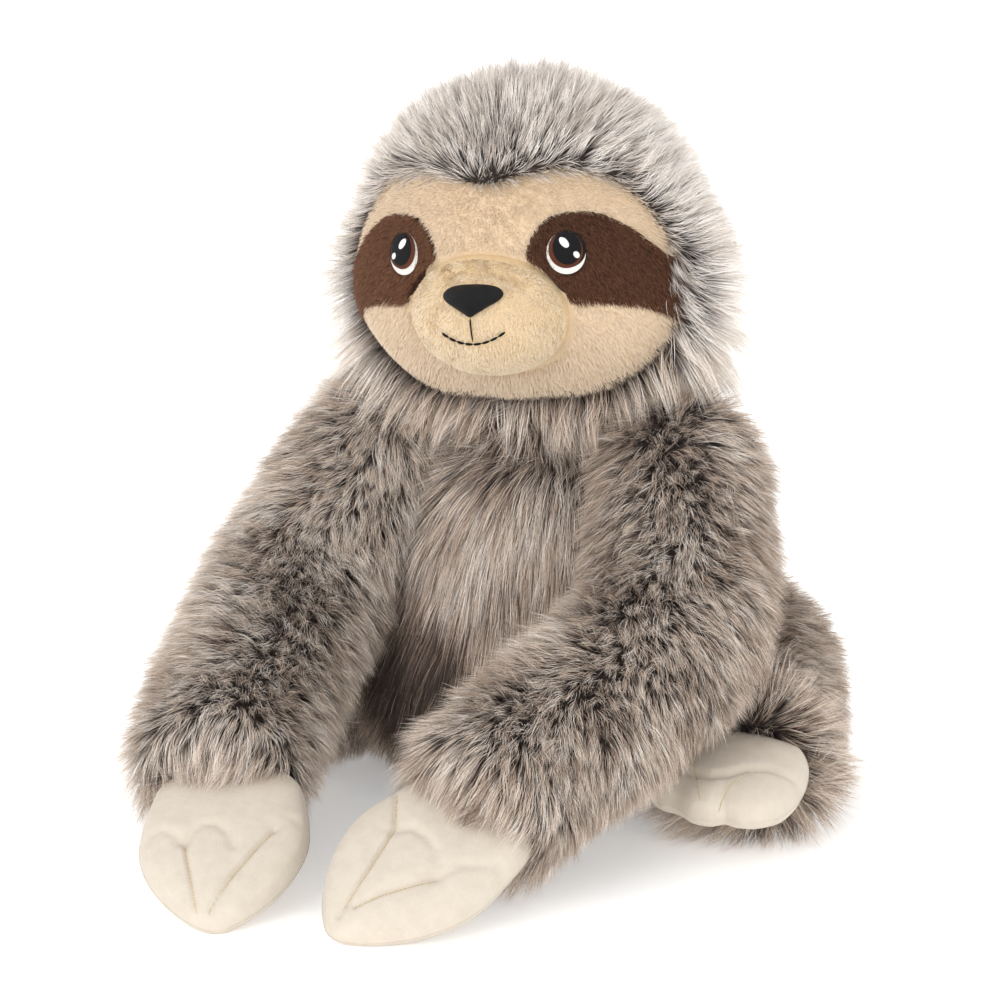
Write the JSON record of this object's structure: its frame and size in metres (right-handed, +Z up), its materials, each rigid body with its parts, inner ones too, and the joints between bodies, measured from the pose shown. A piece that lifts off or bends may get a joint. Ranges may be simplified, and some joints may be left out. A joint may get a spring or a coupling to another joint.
{
  "type": "plush sloth",
  "caption": "Seated plush sloth with long two-tone fur, a turning and nodding head, arms that lift, legs that swing out, and flat cream hands and feet.",
  "frame": {"origin": "middle of the toy's footprint, on the surface that it sits on", "axes": "-Y the way it faces, +X its own left side, +Z up"},
  "size_m": [0.23, 0.263, 0.2366],
  "materials": {
    "long_pile_fur": "long two-tone faux fur, dark roots and pale tips",
    "polyester_filling": "loose white polyester fibre",
    "bean_pellets": "bag of small plastic beans",
    "cream_plush": "short soft pile",
    "brown_plush": "short soft pile",
    "tan_plush": "short crushed pile",
    "cream_velboa": "flat velvety pile",
    "black_satin": "woven satin with a soft sheen",
    "black_thread": "embroidery thread",
    "white_thread": "embroidery thread",
    "brown_thread": "embroidery thread",
    "seam_thread": "sewing thread in a drawn-in line"
  },
  "bodies": {
    "torso": {"torso_cover": "long_pile_fur", "torso_filling": "polyester_filling", "pellet_bag": "bean_pellets"},
    "neck": {"neck_gusset": "long_pile_fur"},
    "head": {"head_cover": "long_pile_fur", "head_filling": "polyester_filling", "face_panel": "cream_plush", "muzzle_cover": "tan_plush", "muzzle_filling": "polyester_filling", "nose": "black_satin", "smile_stitch": "black_thread", "philtrum_stitch": "black_thread", "left_eye_patch": "brown_plush", "left_eye_white": "white_thread", "left_eye_iris": "brown_thread", "left_eye_pupil": "black_thread", "left_eye_glint_upper": "white_thread", "left_eye_glint_lower": "white_thread", "right_eye_patch": "brown_plush", "right_eye_white": "white_thread", "right_eye_iris": "brown_thread", "right_eye_pupil": "black_thread", "right_eye_glint_upper": "white_thread", "right_eye_glint_lower": "white_thread"},
    "left_arm": {"left_arm_cover": "long_pile_fur", "left_arm_filling": "polyester_filling"},
    "left_hand": {"left_hand_back": "cream_velboa", "left_hand_palm": "cream_velboa", "left_hand_filling": "polyester_filling", "left_hand_claw_stitch_outer": "seam_thread", "left_hand_claw_stitch_inner": "seam_thread"},
    "left_leg": {"left_leg_cover": "long_pile_fur", "left_leg_filling": "polyester_filling"},
    "left_foot": {"left_foot_top": "cream_velboa", "left_foot_sole": "cream_velboa", "left_foot_filling": "polyester_filling", "left_foot_claw_stitch_outer": "seam_thread", "left_foot_claw_stitch_inner": "seam_thread"},
    "right_arm": {"right_arm_cover": "long_pile_fur", "right_arm_filling": "polyester_filling"},
    "right_hand": {"right_hand_back": "cream_velboa", "right_hand_palm": "cream_velboa", "right_hand_filling": "polyester_filling", "right_hand_claw_stitch_outer": "seam_thread", "right_hand_claw_stitch_inner": "seam_thread"},
    "right_leg": {"right_leg_cover": "long_pile_fur", "right_leg_filling": "polyester_filling"},
    "right_foot": {"right_foot_top": "cream_velboa", "right_foot_sole": "cream_velboa", "right_foot_filling": "polyester_filling", "right_foot_claw_stitch_outer": "seam_thread", "right_foot_claw_stitch_inner": "seam_thread"}
  },
  "joints": [
    {"name": "neck_turn", "type": "hinge", "parent": "torso", "child": "neck", "pos_m": [0, 0.06316, 0.118], "axis": [0, 0, 1], "range_deg": [-25, 25], "stiffness_Nm_per_rad": 0.6},
    {"name": "head_nod", "type": "hinge", "parent": "neck", "child": "head", "pos_m": [0, 0.06316, 0.118], "axis": [0.9945, 0.1045, 0], "range_deg": [-12, 15], "stiffness_Nm_per_rad": 1},
    {"name": "left_arm_raise", "type": "hinge", "parent": "torso", "child": "left_arm", "pos_m": [0.054, 0.05016, 0.11], "axis": [-1, 0, 0], "range_deg": [0, 60]},
    {"name": "left_hand_flex", "type": "hinge", "parent": "left_arm", "child": "left_hand", "pos_m": [0.04, -0.07384, 0.02642], "axis": [-0.908, 0.282, 0.31], "range_deg": [0, 40]},
    {"name": "left_leg_swing", "type": "hinge", "parent": "torso", "child": "left_leg", "pos_m": [0.055, 0.08816, 0.0345], "axis": [0, 0, 1], "range_deg": [0, 20]},
    {"name": "left_foot_flex", "type": "hinge", "parent": "left_leg", "child": "left_foot", "pos_m": [0.08987, 0.02099, 0.027], "axis": [-0.9962, -0.0872, 0], "range_deg": [-12, 5], "stiffness_Nm_per_rad": 0.1},
    {"name": "right_arm_raise", "type": "hinge", "parent": "torso", "child": "right_arm", "pos_m": [-0.054, 0.05016, 0.11], "axis": [-1, 0, 0], "range_deg": [0, 60]},
    {"name": "right_hand_flex", "type": "hinge", "parent": "right_arm", "child": "right_hand", "pos_m": [-0.039, -0.08284, 0.0258], "axis": [-0.9144, -0.402, -0.0474], "range_deg": [0, 40]},
    {"name": "right_leg_swing", "type": "hinge", "parent": "torso", "child": "right_leg", "pos_m": [-0.055, 0.08816, 0.0345], "axis": [0, 0, -1], "range_deg": [0, 20]},
    {"name": "right_foot_flex", "type": "hinge", "parent": "right_leg", "child": "right_foot", "pos_m": [-0.08987, 0.02099, 0.027], "axis": [-0.9962, 0.0872, 0], "range_deg": [-12, 5], "stiffness_Nm_per_rad": 0.1}
  ]
}
